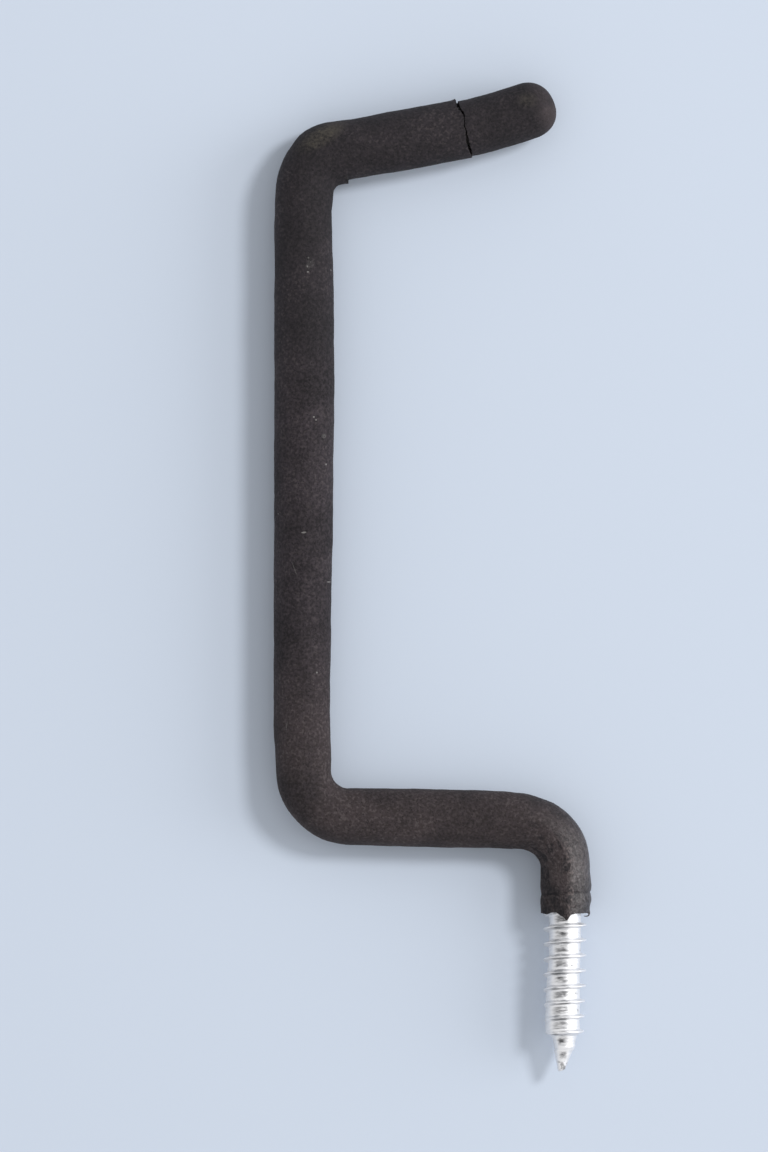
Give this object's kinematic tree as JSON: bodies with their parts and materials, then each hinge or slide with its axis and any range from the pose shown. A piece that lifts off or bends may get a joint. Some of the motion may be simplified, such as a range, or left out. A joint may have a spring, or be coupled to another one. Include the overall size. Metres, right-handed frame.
{
  "type": "screw hook",
  "caption": "Steel screw hook with a wood-screw thread and gimlet point, bent three times into a wide open hook, with a dark foam sleeve that is cracked across near its rounded tip.",
  "frame": {"origin": "on the screw's axis where the foam sleeve ends and the bare thread begins", "axes": "the hook lies flat in the XY plane, +Y from the thread up along the main bar, +X from the main bar towards the hook's open side, +Z square to the hook's plane"},
  "size_m": [0.0588, 0.1832, 0.011],
  "materials": {
    "zinc_plated_steel": "bright zinc plate, slightly mottled",
    "foam_rubber": "matte fine foam skin, browned and flecked with wear"
  },
  "bodies": {
    "root": {"screw_rod": "zinc_plated_steel", "foam_sleeve": "foam_rubber"}
  },
  "joints": []
}
